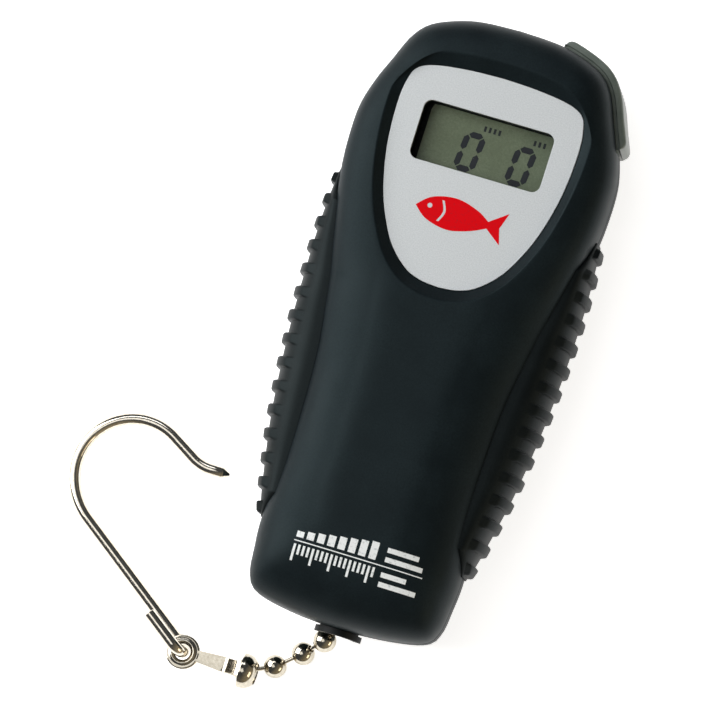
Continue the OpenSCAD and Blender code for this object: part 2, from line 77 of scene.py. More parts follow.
def add(tree, kind, sockets=None, **settings):
    """Adds one node: its settings, then a value or a link for each socket named."""
    node = tree.nodes.new(kind)
    for name, value in settings.items():
        setattr(node, name, value)
    for name, value in (sockets or {}).items():
        if isinstance(value, bpy.types.NodeSocket):
            tree.links.new(value, node.inputs[name])
        else:
            node.inputs[name].default_value = value
    return node


def ramp(tree, share, *stops):
    """Colour ramp over a share, with a position and a hex code for each of its two stops."""
    node = add(tree, "ShaderNodeValToRGB", {"Fac": share})
    for element, (position, code) in zip(node.color_ramp.elements, stops):
        element.position = position
        element.color = linear(code)
    return node.outputs[0]


def finish_of(name, sockets):
    """Material with one shader whose even values are set on its own sockets."""
    material = bpy.data.materials.new(name)
    material.use_nodes = True
    tree = material.node_tree
    tree.nodes.clear()
    shader = add(tree, "ShaderNodeBsdfPrincipled", sockets)
    add(tree, "ShaderNodeOutputMaterial", {"Surface": shader.outputs[0]})
    place = add(tree, "ShaderNodeTexCoord").outputs["Object"]
    return material, tree, shader, place


floor_mesh = bpy.data.meshes.new("paper_floor")
floor_mesh.from_pydata([(-4, -4, 0), (4, -4, 0), (4, 4, 0), (-4, 4, 0)], [], [(0, 1, 2, 3)])
floor = bpy.data.objects.new("paper_floor", floor_mesh)
scene.collection.objects.link(floor)
# Matt white paper: even and shadowless but for soft shade next to what lies on it
paper, tree, shader, place = finish_of("matt_white_paper", {
    "Base Color": linear("#f4f4f4"), "Roughness": 0.95, "Specular IOR Level": 0.1,
    "Emission Color": linear("#ffffff"), "Emission Strength": 0.8,
})
floor_mesh.materials.append(paper)


def soft_box(name, way, distance, size, power, colour):
    """Square area light that looks at the middle of the scale."""
    light = bpy.data.lights.new(name, "AREA")
    light.shape = "RECTANGLE"
    light.size, light.size_y = size
    light.energy = power
    light.color = linear(colour)[:3]
    lamp = bpy.data.objects.new(name, light)
    lamp.location = view_middle + way.normalized() * distance
    lamp.rotation_euler = way.to_track_quat("Z", "Y").to_euler()
    scene.collection.objects.link(lamp)


soft_box("key_box", -view_right * 1.0 + view_up * 0.5 + to_camera * 0.62, 0.8, (0.7, 0.7), 8.4, "#ffffff")
soft_box("right_box", view_right * 0.9 - view_up * 0.6 + to_camera * 0.7, 1.0, (0.5, 0.3), 1.2, "#ffeccf")
soft_box("top_box", -view_right * 0.2 + view_up * 1.0 + to_camera * 0.9, 1.1, (0.5, 0.25), 1.2, "#f4f8ff")
# A white card over the hook's side, seen in the flat and round metal there but not in the window
soft_box("overhead_card", Vector((-0.21, -0.15, 1.085)), 1.1, (0.5, 0.5), 1.0, "#ffffff")

# The room: dark above and behind, warm and lighter low down on the right
room = bpy.data.worlds.new("dim_room")
room.use_nodes = True
tree = room.node_tree
gaze = add(tree, "ShaderNodeTexCoord").outputs["Generated"]
towards = add(tree, "ShaderNodeVectorMath", {0: gaze, 1: view_right * 0.7 - view_up * 0.6},
              operation="DOT_PRODUCT")
walls = ramp(tree, towards.outputs["Value"], (0, "#4a4c4f"), (0.75, "#9a8f78"))
tree.links.new(walls, tree.nodes["Background"].inputs["Color"])
scene.world = room


# ---- Front shell ----
# Injection-moulded ABS with a satin soft-touch coat: a domed half shell with a shallow dish for
# the face plate, a window and a slot for the button. It is held by four screws from the back.
side_points = [
    [0, 62.9], [8, 62.5], [13.5, 61.2], [18.3, 59], [21.2, 55.6], [23.4, 50.4], [25.5, 45.2],
    [27, 39.5], [27.2, 33], [26.7, 26], [24.9, 14.5], [22.9, 1.5], [21.1, -11], [20.5, -25],
    [20.5, -36], [21, -46], [20.6, -52], [19.9, -57], [17.6, -60], [10, -61.6], [0, -62.3],
]
plate_points = [
    [0, 51.8], [7, 51.5], [13.8, 50.6], [17.3, 49], [18.5, 46], [18.9, 42], [18.7, 36],
    [17.9, 30], [16.3, 23.6], [14.3, 18.6], [11.4, 13.6], [7.4, 9.8], [3.8, 8.3], [0, 7.9],
]
joint_z = 12
front_rise = 13
half_length = 62.6
back_power = 2.6
back_draw = 0.2
wall = 2
plate_top = 23
plate_thick = 0.6
seat_z = 20.8
window_at = (0, 37.6)
window_size = (27.2, 12.3)
length_share = 27.2 / half_length
around = 240


def smooth_line(points, steps):
    """Smooth curve through the points, with that many steps from each to the next."""
    p = np.array(points, float)
    q = np.vstack([p[:1], p, p[-1:]])
    line = []
    for i in range(len(p) - 1):
        a, b, c, d = q[i:i + 4]
        for t in np.arange(steps) / steps:
            line.append(0.5 * (2 * b + (c - a) * t + (2 * a - 5 * b + 4 * c - d) * t ** 2
                               + (3 * b - a - 3 * c + d) * t ** 3))
    return np.array([*line, p[-1]])


def evenly(line, count):
    """The same line with its points at equal distances."""
    run = np.concatenate([[0], np.cumsum(np.linalg.norm(np.diff(line, axis=0), axis=1))])
    at = np.linspace(0, run[-1], count)
    return np.stack([np.interp(at, run, line[:, k]) for k in range(line.shape[1])], axis=1)


def both_sides(half):
    """A right-hand half outline closed by its mirror image."""
    return np.vstack([half, half[-2:0:-1] * [-1, 1]])


def rounded_box(width, height, radius, middle):
    """Outline of a box with round corners, clockwise from the middle of its top edge."""
    w, h = width / 2 - radius, height / 2 - radius
    corners = [(w, h, 90), (w, -h, 0), (-w, -h, -90), (-w, h, -180)]
    points = [(0, height / 2)]
    for x, y, start in corners:
        for turn in np.radians(np.linspace(start, start - 90, 13)):
            points.append((x + radius * math.cos(turn), y + radius * math.sin(turn)))
    points.append((0, height / 2))
    return evenly(np.array(points), around + 1)[:-1] + middle


def at_height(outline, z):
    """A plan outline with one height, or a height for each point."""
    return np.column_stack([outline, np.broadcast_to(z, len(outline))])


def drawn_in(u):
    """The shell's outline drawn in by a share of its half width."""
    return outline * [1 - u, 1 - u * length_share]


def half_width(y):
    """Half width of the outline at a place along the body."""
    return np.interp(y, side[::-1, 1], side[::-1, 0], left=0, right=0)


def share_at(x, y):
    """How far in from the outline a point lies, as drawn_in counts it."""
    low, high = np.zeros(len(x)), np.ones(len(x))
    for _ in range(40):
        mid = (low + high) / 2
        inside = half_width(y / (1 - length_share * mid)) * (1 - mid) > np.abs(x)
        low, high = np.where(inside, mid, low), np.where(inside, high, mid)
    return (low + high) / 2


def squareness(y):
    """Power of the front's cross-section: rounder at the foot, tighter in the shoulders at the head."""
    return np.interp(y, [-62, 5, 26, 63], [2.9, 3.1, 4.6, 4.8])


def rise_at(y):
    """Height of the front over the joint: a little more towards the head."""
    return front_rise * (1 + 0.03 * y / half_length)


def dome(u, y):
    """Height of the front face where it is drawn in by a share, the same power for all near the middle."""
    square = squareness(y)
    square = square + (4 - square) * np.clip((u - 0.5) / 0.22, 0, 1)
    return joint_z + rise_at(y) * (1 - (1 - u) ** square) ** (1 / square)


def on_dome(flat, lift=0):
    """Points of a plan laid onto the front face."""
    return at_height(flat, dome(share_at(flat[:, 0], flat[:, 1]), flat[:, 1]) + lift)


def loft(name, rings, looped=False):
    """Closed skin through rings of millimetre points that all have the same count."""
    rings = np.array(rings, float)
    count, size = rings.shape[:2]
    faces = []
    for i in range(count if looped else count - 1):
        k = (i + 1) % count
        for j in range(size):
            n = (j + 1) % size
            faces.append((i * size + j, k * size + j, k * size + n, i * size + n))
    if not looped:
        faces += [list(range(size)), list(range(count * size - 1, (count - 1) * size - 1, -1))]
    mesh = bpy.data.meshes.new(name)
    mesh.from_pydata((rings.reshape(-1, 3) * MM).tolist(), [], faces)
    work = bmesh.new()
    work.from_mesh(mesh)
    bmesh.ops.recalc_face_normals(work, faces=work.faces)
    work.to_mesh(mesh)
    work.free()
    piece = bpy.data.objects.new(name, mesh)
    scene.collection.objects.link(piece)
    return piece


def cut(piece, *tools):
    """Takes the tools' solids out of a piece."""
    for tool in tools:
        knife = piece.modifiers.new("cut", "BOOLEAN")
        knife.operation = "DIFFERENCE"
        knife.solver = "EXACT"
        knife.object = tool
    bpy.context.view_layer.update()
    done = bpy.data.meshes.new_from_object(piece.evaluated_get(bpy.context.evaluated_depsgraph_get()))
    piece.modifiers.clear()
    piece.data = done
    for tool in tools:
        bpy.data.objects.remove(tool)


def weld_in(piece, *others):
    """Adds other pieces' skins to a piece."""
    work = bmesh.new()
    work.from_mesh(piece.data)
    for other in others:
        work.from_mesh(other.data)
        bpy.data.objects.remove(other)
    work.to_mesh(piece.data)
    work.free()


def fit(piece, material, body, slot, *nodes, crease=32):
    """Shades a piece, gives it its material, and fits it to its body in place of its CAD nodes."""
    piece.data.materials.clear()
    piece.data.materials.append(material)
    piece.data.shade_smooth()
    piece.data.set_sharp_from_angle(angle=math.radians(crease))
    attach(piece, body)
    if nodes:
        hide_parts(*nodes)


side = evenly(smooth_line(side_points, 10), around // 2 + 1)
outline = both_sides(side)
plate_outline = both_sides(evenly(smooth_line(plate_points, 10), around // 2 + 1))


def grown(loop, by):
    """A closed outline moved outward by a distance at each point."""
    ahead = np.roll(loop, -1, axis=0) - np.roll(loop, 1, axis=0)
    ahead /= np.linalg.norm(ahead, axis=1)[:, None]
    return loop + np.column_stack([-ahead[:, 1], ahead[:, 0]]) * np.reshape(by, (-1, 1))


# The dish starts with a soft rim and slopes evenly to the plate
dish_foot = grown(plate_outline, np.full(around, 0.15))
dish_edge = grown(plate_outline, np.interp(plate_outline[:, 1], [7.9, 15, 30, 43, 50, 51.8],
                                           [3.3, 2.4, 2.1, 2.2, 2.9, 3.3]))
for _ in range(40):
    dish_edge = dish_edge * 0.5 + (np.roll(dish_edge, 1, axis=0) + np.roll(dish_edge, -1, axis=0)) * 0.25
dish_edge[0, 0] = dish_edge[around // 2, 0] = 0
dish_edge = both_sides(evenly(dish_edge[:around // 2 + 1], around // 2 + 1))
edge_z = on_dome(dish_edge)[:, 2]
window_edge = rounded_box(*window_size, 1.7, window_at)
shoulder = 1 - np.cos(np.radians([0.6, 1.2, 2.5, 5, 8, 12, 16, 20, 25, 30, 35, 40])) ** 0.5
front_rings = [at_height(drawn_in(0.009), joint_z), at_height(drawn_in(0), joint_z + 0.28)]
for u in shoulder:
    front_rings.append(at_height(drawn_in(u), dome(u, drawn_in(u)[:, 1])))
for t in np.linspace(0, 1, 34)[1:]:
    front_rings.append(on_dome(drawn_in(shoulder[-1]) * (1 - t) + dish_edge * t))
rim_soft = 0.22
for t in [0.04, 0.08, 0.13, 0.18, 0.24, 0.34, 0.5, 0.7, 0.88, 1]:
    fall = t * t / (2 * rim_soft) if t < rim_soft else t - rim_soft / 2
    fall = fall / (1 - rim_soft / 2)
    front_rings.append(at_height(dish_edge * (1 - t) + dish_foot * t,
                                 edge_z * (1 - fall) + (plate_top - 0.05) * fall))
front_rings += [
    at_height(dish_foot, plate_top - plate_thick - 0.02),
    at_height(window_edge, plate_top - plate_thick - 0.02),
    at_height(window_edge, seat_z),
    at_height(dish_foot, seat_z),
    at_height(dish_edge, edge_z - wall),
]
for t in [0.66, 0.33, 0]:
    front_rings.append(on_dome(drawn_in(0.14) * (1 - t) + dish_edge * t, -wall))
front_rings += [at_height(drawn_in(0.095), 17.5), at_height(drawn_in(0.078), joint_z)]
front_shell = loft("front_shell_moulding", front_rings, looped=True)


# The band round the corner of the head where the button stands, along the outline
band_line = evenly(smooth_line(side_points[:8], 12)[14:73], 64)
band_ahead = np.gradient(band_line, axis=0)
band_ahead /= np.linalg.norm(band_ahead, axis=1)[:, None]
band_out = np.column_stack([-band_ahead[:, 1], band_ahead[:, 0]])
slot_low = 5.2
slot_high = 18.3
slot_play = 0.5


def slot_tool(name):
    """Solid that cuts the button's slot through both shells."""
    opening = band_line.copy()
    opening[0] -= band_ahead[0] * slot_play
    opening[-1] += band_ahead[-1] * slot_play
    plan = np.vstack([opening + band_out * 6, (opening - band_out * 3.2)[::-1]])
    return loft(name, [at_height(plan, slot_low), at_height(plan, slot_high)])


cut(front_shell, slot_tool("slot_front"))


def moulded(name, dark, light, rough, grain_mm, grain_depth_mm, patch_mm=9, shine=0.5, cast="#ffffff"):
    """Moulded plastic or rubber: slow colour patches, and a fine even grain from the tool."""
    material, tree, shader, place = finish_of(name, {
        "IOR": 1.5, "Specular IOR Level": shine, "Specular Tint": linear(cast),
    })
    patch = add(tree, "ShaderNodeTexNoise", {"Vector": place, "Scale": 1 / (patch_mm * MM), "Detail": 3.0})
    grain = add(tree, "ShaderNodeTexNoise", {"Vector": place, "Scale": 1 / (grain_mm * MM), "Detail": 2.0})
    blend = add(tree, "ShaderNodeMath", {0: patch.outputs["Fac"], 1: grain.outputs["Fac"]},
                operation="MULTIPLY")
    colours = ramp(tree, blend.outputs[0], (0.12, dark), (0.42, light))
    gloss = add(tree, "ShaderNodeMapRange", {
        "Value": patch.outputs["Fac"], "From Min": 0.3, "From Max": 0.7,
        "To Min": rough - 0.05, "To Max": rough + 0.05,
    })
    bump = add(tree, "ShaderNodeBump", {
        "Height": grain.outputs["Fac"], "Distance": grain_depth_mm * MM, "Strength": 0.6,
    })
    tree.links.new(colours, shader.inputs["Base Color"])
    tree.links.new(gloss.outputs[0], shader.inputs["Roughness"])
    tree.links.new(bump.outputs[0], shader.inputs["Normal"])
    return material


# Soft-touch coat on ABS: broad dull highlights and a slate tint. The real grain of about
# 0.1 mm is drawn at 0.35 mm so that it shows.
soft_touch = moulded("soft_touch_coated_abs", "#0d1316", "#151d20", 0.5, 0.35, 0.012, shine=0.2,
                     cast="#c2dde2")
fit(front_shell, soft_touch, "housing", "charcoal_plastic", "front_shell")


# ---- Rear shell ----
# The same coated ABS: a flat back with round edges, a battery bay with its opening, and four deep
# wells for the case screws. A fine groove marks the joint with the front shell.
screw_spots = [(22, 30), (-22, 30), (13.5, -52), (-13.5, -52)]
door_middle = (0, 26.2)
lug_spots = [2.5, 49.9]
bay_top = 10.7
ledge_low = 1.2
ledge_high = 2.6
door_opening = rounded_box(24.6, 47.2, 0.9, door_middle)
door_ledge = rounded_box(26, 48.6, 1.2, door_middle)
bay_inside = rounded_box(26, 49.4, 0.6, door_middle)
bay_outside = rounded_box(28.4, 51.8, 0.8, door_middle)
back_rings = [at_height(drawn_in(0.009), joint_z), at_height(drawn_in(0), joint_z - 0.28)]
for turn in np.radians([1.2, 2.5, 5, 9, 14, 20, 27, 35, 44, 53, 62, 71, 80, 90]):
    u = back_draw * (1 - math.cos(turn) ** (2 / back_power)) if turn < 1.57 else back_draw
    back_rings.append(at_height(drawn_in(u), joint_z * (1 - math.sin(turn) ** (2 / back_power))))
for t in [0.25, 0.5, 0.75, 0.97]:
    back_rings.append(at_height(drawn_in(back_draw) * (1 - t) + door_opening * t, 0))
back_rings += [
    at_height(door_opening, 0.25), at_height(door_opening, ledge_low), at_height(door_ledge, ledge_low),
    at_height(door_ledge, ledge_high), at_height(bay_inside, ledge_high), at_height(bay_inside, bay_top),
    at_height(bay_outside, bay_top), at_height(bay_outside, wall), at_height(drawn_in(0.22), wall),
    at_height(drawn_in(0.17), 2.6), at_height(drawn_in(0.13), 4), at_height(drawn_in(0.1), 6.5),
    at_height(drawn_in(0.078), joint_z),
]
rear_shell = loft("rear_shell_moulding", back_rings, looped=True)


def disc(radius, z, middle=(0, 0), count=48):
    """Level circle of points."""
    turn = np.radians(np.arange(count) * 360 / count)
    return np.column_stack([middle[0] + radius * np.cos(turn), middle[1] + radius * np.sin(turn),
                            np.full(count, float(z))])


cut(rear_shell, slot_tool("slot_rear"),
    *[loft("well", [disc(2.4, -1, s), disc(2.4, 4, s)]) for s in screw_spots],
    *[loft("lug_notch", [at_height(rounded_box(6.6, 1.6, 0.1, (0, y)), z) for z in (-1, 3)])
      for y in lug_spots])
weld_in(rear_shell, *[
    loft("screw_cup", [
        disc(2.38, 1, s), disc(2.38, 3.5, s), disc(1.3, 3.5, s),
        disc(1.3, joint_z, s), disc(3.2, joint_z, s), disc(3.2, 1, s),
    ], looped=True) for s in screw_spots])
fit(rear_shell, soft_touch, "housing", "charcoal_plastic", "rear_shell")


# ---- Battery door ----
# Snap-in cover moulded in the same ABS, flush with the back, with grooves for a thumb at the
# foot end and a lug at each end that clicks under the bay's ledge.
def flat_piece(name, loops, low, high, bevel=0.0):
    """Sheet between two heights from closed outlines; an outline inside another is a hole."""
    plan = bpy.data.curves.new(name, "CURVE")
    plan.dimensions = "2D"
    plan.fill_mode = "BOTH"
    plan.extrude = ((high - low) / 2 - bevel) * MM
    plan.bevel_depth = bevel * MM
    plan.offset = -bevel * MM
    plan.bevel_resolution = 2
    for loop in loops:
        line = plan.splines.new("POLY")
        line.points.add(len(loop) - 1)
        for point, (x, y) in zip(line.points, loop):
            point.co = (x * MM, y * MM, 0, 1)
        line.use_cyclic_u = True
    sheet = bpy.data.objects.new(name, plan)
    scene.collection.objects.link(sheet)
    bpy.context.view_layer.update()
    mesh = bpy.data.meshes.new_from_object(sheet.evaluated_get(bpy.context.evaluated_depsgraph_get()))
    bpy.data.objects.remove(sheet)
    mesh.transform(Matrix.Translation((0, 0, (low + high) / 2 * MM)))
    work = bmesh.new()
    work.from_mesh(mesh)
    bmesh.ops.remove_doubles(work, verts=work.verts, dist=1e-7)
    work.to_mesh(mesh)
    work.free()
    piece = bpy.data.objects.new(name, mesh)
    scene.collection.objects.link(piece)
    return piece


def bar(x, y, width, height):
    """Plain rectangle outline about a point."""
    return [(x - width / 2, y - height / 2), (x + width / 2, y - height / 2),
            (x + width / 2, y + height / 2), (x - width / 2, y + height / 2)]


door = flat_piece("battery_cover", [rounded_box(24, 46.6, 0.8, door_middle)[::2]], 0, 2.3, 0.2)
cut(door, *[flat_piece("thumb_groove", [rounded_box(11, 0.9, 0.44, (0, 7 + k * 1.9))[::6]], -1, 0.45)
            for k in range(6)])
weld_in(door, *[flat_piece("door_lug", [bar(0, y, 6, 1)], 1.45, 2.25, 0.1) for y in lug_spots])
fit(door, soft_touch, "door", "charcoal_plastic", "battery_door")


# ---- Grips ----
# Black thermoplastic rubber moulded onto both sides: fifteen round-edged ribs that wrap the
# flank and stop short of a smooth shoulder along the shell.
grip_points = [
    [27.3, 26.6], [27.6, 23], [28.1, 14], [28.1, 4], [27.7, -6], [26.9, -16], [25.7, -26],
    [24.2, -34], [22.6, -41.5], [21.4, -45.4],
]
grip_line = smooth_line(grip_points, 6)
rib_count = 15
rib_pitch = 4.85
rib_height = 0.95
first_rib = 24.3
grip_mid_z = 10.8


def flank(y, z):
    """Half width of the closed shells at a height."""
    square = squareness(y)
    up = np.clip((z - joint_z) / rise_at(y), 0, 1)
    down = np.clip(1 - z / joint_z, 0, 1)
    above = (1 - up ** square) ** (1 / square)
    below = 1 - back_draw * (1 - (1 - down ** back_power) ** (1 / back_power))
    return half_width(y) * np.where(z > joint_z, above, below)


def rib_at(y):
    """Height of the nearest rib over the grip."""
    nearest = np.clip(round((first_rib - y) / rib_pitch), 0, rib_count - 1)
    off = abs(y - first_rib + nearest * rib_pitch)
    edge = np.clip((off - 0.72) / 0.43, 0, 1)
    return rib_height * math.sqrt(1 - edge ** 2)


def grip_ring(y, hand):
    """Cross-section of a grip: its ribbed outside, then its inside along the shell."""
    turn = np.radians(np.linspace(-90, 90, 41))
    base = half_width(y) + 0.06
    thick = max(np.interp(y, grip_line[::-1, 1], grip_line[::-1, 0]) - base, 0.25)
    tall = 8.9 * min(1, 0.35 + thick / 3.2)
    z = grip_mid_z + tall * np.sin(turn)
    reach = np.clip((np.radians(62) - np.abs(turn)) / np.radians(5), 0, 1)
    bulge = thick * np.cos(turn).clip(0) ** 0.55 + rib_at(y) * np.sqrt(1 - (1 - reach) ** 2)
    x = flank(y, z) + 0.04 + bulge
    inner_z = np.linspace(z[-1] - 0.3, z[0] + 0.3, 9)
    inner_x = flank(y, inner_z) - 0.3
    return np.column_stack([hand * np.concatenate([x, inner_x]), np.full(50, float(y)),
                            np.concatenate([z, inner_z])])


# Rubber: near black and dull, with a dusty bloom. Its 0.1 mm grain is drawn at 0.4 mm.
grip_rubber = moulded("moulded_tpe_rubber", "#090c0d", "#101415", 0.5, 0.4, 0.015, shine=0.2,
                      cast="#c8dde0")
for hand, name in ((-1, "left_grip"), (1, "right_grip")):
    rings = [grip_ring(y, hand) for y in np.arange(26.4, -45.3, -0.16)]
    fit(loft(name + "_pad", rings), grip_rubber, "housing", "black_rubber", name, crease=50)


# ---- Power button ----
# A long push bar of smoke-grey acetal bent round the corner of the head. It slides in its slot
# and presses the switch behind it.
button_low = 5.5
button_high = 18
button_out = 1.9
end_out = 0.35
button_foot = -2.2
button_rings = []
run = np.concatenate([[0], np.cumsum(np.linalg.norm(np.diff(band_line, axis=0), axis=1))])
for point, out, s in zip(band_line, band_out, run):
    end = min(s, run[-1] - s)
    proud = end_out + (button_out - end_out) * math.sqrt(1 - (1 - min(end / 1.6, 1)) ** 2)
    soft = min(0.75, proud * 0.6)
    section = [(button_foot, button_low)]
    for turn in np.radians(np.linspace(-90, 0, 6)):
        section.append((proud - soft + soft * math.cos(turn), button_low + soft + soft * math.sin(turn)))
    for turn in np.radians(np.linspace(0, 90, 6)):
        section.append((proud - soft + soft * math.cos(turn), button_high - soft + soft * math.sin(turn)))
    section += [(0.55, button_high), (0.35, button_high - 0.3), (button_foot, button_high - 0.3)]
    button_rings.append([(*(point + out * o), z) for o, z in section])
button = loft("button_bar", button_rings)
# Smoked acetal: a greenish grey, cloudy and with a soft gloss
acetal, tree, shader, place = finish_of("smoked_acetal", {"Roughness": 0.34, "IOR": 1.48})
cloud = add(tree, "ShaderNodeTexNoise", {"Vector": place, "Scale": 1 / (3 * MM), "Detail": 3.0})
tone = ramp(tree, cloud.outputs["Fac"], (0, "#4f5953"), (1, "#717a73"))
fine = add(tree, "ShaderNodeTexNoise", {"Vector": place, "Scale": 1 / (0.4 * MM)})
bump = add(tree, "ShaderNodeBump", {"Height": fine.outputs["Fac"], "Distance": 0.006 * MM, "Strength": 0.5})
tree.links.new(tone, shader.inputs["Base Color"])
tree.links.new(bump.outputs[0], shader.inputs["Normal"])
fit(button, acetal, "button", "grey_button", "power_button")


# ---- Face plate ----
# Thin aluminium sheet with a fine pearl-silver lacquer, stamped with its window and glued into
# the dish. Its edges are slightly rounded by the press.
face_plate = flat_piece("silver_plate", [plate_outline, window_edge[::-1]],
                        plate_top - plate_thick, plate_top, 0.08)
# Pearl lacquer on aluminium: pale, even and grainy. Its 0.05 mm flakes are drawn at 0.25 mm.
pearl, tree, shader, place = finish_of("pearl_lacquered_aluminium", {"Metallic": 0.2})
flake = add(tree, "ShaderNodeTexNoise", {"Vector": place, "Scale": 1 / (0.25 * MM), "Detail": 2.0})
drift = add(tree, "ShaderNodeTexNoise", {"Vector": place, "Scale": 1 / (14 * MM), "Detail": 2.0})
tone = ramp(tree, flake.outputs["Fac"], (0.3, "#bfc4c6"), (0.7, "#d0d4d6"))
gloss = add(tree, "ShaderNodeMapRange", {"Value": drift.outputs["Fac"], "To Min": 0.52, "To Max": 0.64})
bump = add(tree, "ShaderNodeBump", {"Height": flake.outputs["Fac"], "Distance": 0.006 * MM, "Strength": 0.5})
tree.links.new(tone, shader.inputs["Base Color"])
tree.links.new(gloss.outputs[0], shader.inputs["Roughness"])
tree.links.new(bump.outputs[0], shader.inputs["Normal"])
fit(face_plate, pearl, "housing", "silver_plate", "face_plate", crease=12)


# ---- Red fish on the plate ----
# Screen-printed ink, a few hundredths of a millimetre thick: a plain fish with its eye and the
# line of its gill left open.
def print_ink(name, colour, pale):
    """Screen ink: flat colour with faint pinholes, drawn at 0.5 mm where real ones are 0.1 mm."""
    material, tree, shader, place = finish_of(name, {"Roughness": 0.5, "IOR": 1.5, "Specular IOR Level": 0.06})
    holes = add(tree, "ShaderNodeTexNoise", {"Vector": place, "Scale": 1 / (0.5 * MM), "Detail": 3.0})
    tone = ramp(tree, holes.outputs["Fac"], (0.25, pale), (0.45, colour))
    tree.links.new(tone, shader.inputs["Base Color"])
    return material


# Red ink: even, strong and matt, so that it stays red under the soft box
red_ink = print_ink("red_screen_ink", "#d6000d", "#bd141d")
fish_back = smooth_line([(-9.2, 22.6), (-6.4, 25), (-1.6, 26), (3, 24.9), (5.8, 23.3)], 8)
fish_tail = [(9.4, 26), (8.3, 22.6), (9.2, 19.4)]
fish_belly = smooth_line([(5.8, 21.9), (2.6, 20.4), (-1.8, 19.4), (-6.4, 20.4), (-9.2, 22.6)], 8)
fish_body = [*fish_back, *fish_tail, *fish_belly[:-1]]
fish_eye = [(-6.4 + 0.5 * math.cos(a), 23.2 + 0.5 * math.sin(a)) for a in np.radians(np.arange(0, 360, 24))]
gill = smooth_line([(-4.3, 24.9), (-3.5, 22.7), (-4.3, 20.6)], 6)
gill_cut = [*gill, *(gill[::-1] + [0.5, 0])]
ink_thick = 0.03
fish = flat_piece("red_fish_print", [fish_body, fish_eye, gill_cut], plate_top, plate_top + ink_thick)
fit(fish, red_ink, "housing", "silver_plate")


# ---- White scale marks near the foot ----
# Pad-printed white ink laid onto the domed face: a thin rule with a row of rising bars over it, a
# graduation under it and plain bars beside them.
def inked_patch(x0, x1, y0, y1):
    """Strip of ink on the front face, in cells of about half a millimetre."""
    nx, ny = max(2, round(abs(x1 - x0) / 0.5) + 1), max(2, round(abs(y1 - y0) / 0.5) + 1)
    xs, ys = np.meshgrid(np.linspace(x0, x1, nx), np.linspace(y0, y1, ny))
    points = on_dome(np.column_stack([xs.ravel(), ys.ravel()]), ink_thick)
    faces = [(j * nx + i, j * nx + i + 1, (j + 1) * nx + i + 1, (j + 1) * nx + i)
             for j in range(ny - 1) for i in range(nx - 1)]
    return points * MM, faces


def inked(name, patches, material, body, slot):
    """One print of many patches, fitted to a body."""
    points, faces = [], []
    for patch in patches:
        more, quads = inked_patch(*patch)
        faces += [tuple(k + len(points) for k in quad) for quad in quads]
        points += more.tolist()
    mesh = bpy.data.meshes.new(name)
    mesh.from_pydata(points, [], faces)
    piece = bpy.data.objects.new(name, mesh)
    scene.collection.objects.link(piece)
    fit(piece, material, body, slot)


# White pad ink: thin and a little grey where it misses
white_ink = print_ink("white_pad_ink", "#e9ecec", "#b9bfc0")
marks = [(-12, 14.6, -48.62, -48.4)]
for k in range(8):
    marks.append((-11.8 + k * 2.15, -10.3 + k * 2.15, -47.8, -46.6 + k * 0.33))
for k in range(18):
    tall = 3.4 if k % 4 == 0 else 2
    marks.append((-11.8 + k * 0.97, -11.3 + k * 0.97, -49.2 - tall, -49.2))
for row, long in ((-45.2, 6.4), (-47.1, 7.6), (-50.2, 5.2), (-52.1, 7.6)):
    marks.append((6.6, 6.6 + long, row - 0.5, row + 0.5))
inked("foot_scale_print", marks, white_ink, "housing", "charcoal_plastic")


# ---- Window, display cell and digits ----
# A clear acrylic lens over a reflective liquid crystal cell: olive glass with dark segments,
# carried by a black frame with two rubber contact strips under it.
# Clear acrylic: unseen but for a faint grey veil and the reflections on it
lens, tree, shader, place = finish_of("clear_cast_acrylic", {
    "Base Color": linear("#101616"), "IOR": 1.49, "Alpha": 0.06,
})
haze = add(tree, "ShaderNodeTexNoise", {"Vector": place, "Scale": 1 / (6 * MM), "Detail": 2.0})
gloss = add(tree, "ShaderNodeMapRange", {"Value": haze.outputs["Fac"], "To Min": 0.02, "To Max": 0.08})
tree.links.new(gloss.outputs[0], shader.inputs["Roughness"])


def dress(material, *names):
    """Gives kept CAD nodes their real finish."""
    for name in names:
        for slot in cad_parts[name].material_slots:
            slot.material = material


dress(lens, "window_lens")

# Polariser film on glass: olive grey-green with a faint cloud and a soft gloss
cell, tree, shader, place = finish_of("polarised_lcd_glass", {"IOR": 1.5, "Roughness": 0.3})
cloud = add(tree, "ShaderNodeTexNoise", {"Vector": place, "Scale": 1 / (5 * MM), "Detail": 4.0})
grit = add(tree, "ShaderNodeTexNoise", {"Vector": place, "Scale": 1 / (0.4 * MM)})
blend = add(tree, "ShaderNodeMath", {0: cloud.outputs["Fac"], 1: grit.outputs["Fac"]}, operation="MULTIPLY")
tone = ramp(tree, blend.outputs[0], (0.1, "#5f6a53"), (0.45, "#727e66"))
tree.links.new(tone, shader.inputs["Base Color"])
dress(cell, "lcd_glass")

digit_width = 4.5
digit_height = 8.3
segment = 1.25
lean_share = 0.09
digit_foot = window_at[1] - 5.6


def bevelled_bar(x0, y0, x1, y1):
    """One segment from end to end, pointed at both ends."""
    h = segment / 2
    if x0 == x1:
        return [(x0, y0), (x0 + h, y0 + h), (x0 + h, y1 - h), (x0, y1), (x0 - h, y1 - h), (x0 - h, y0 + h)]
    return [(x0, y0), (x0 + h, y0 - h), (x1 - h, y0 - h), (x1, y0), (x1 - h, y0 + h), (x0 + h, y0 + h)]


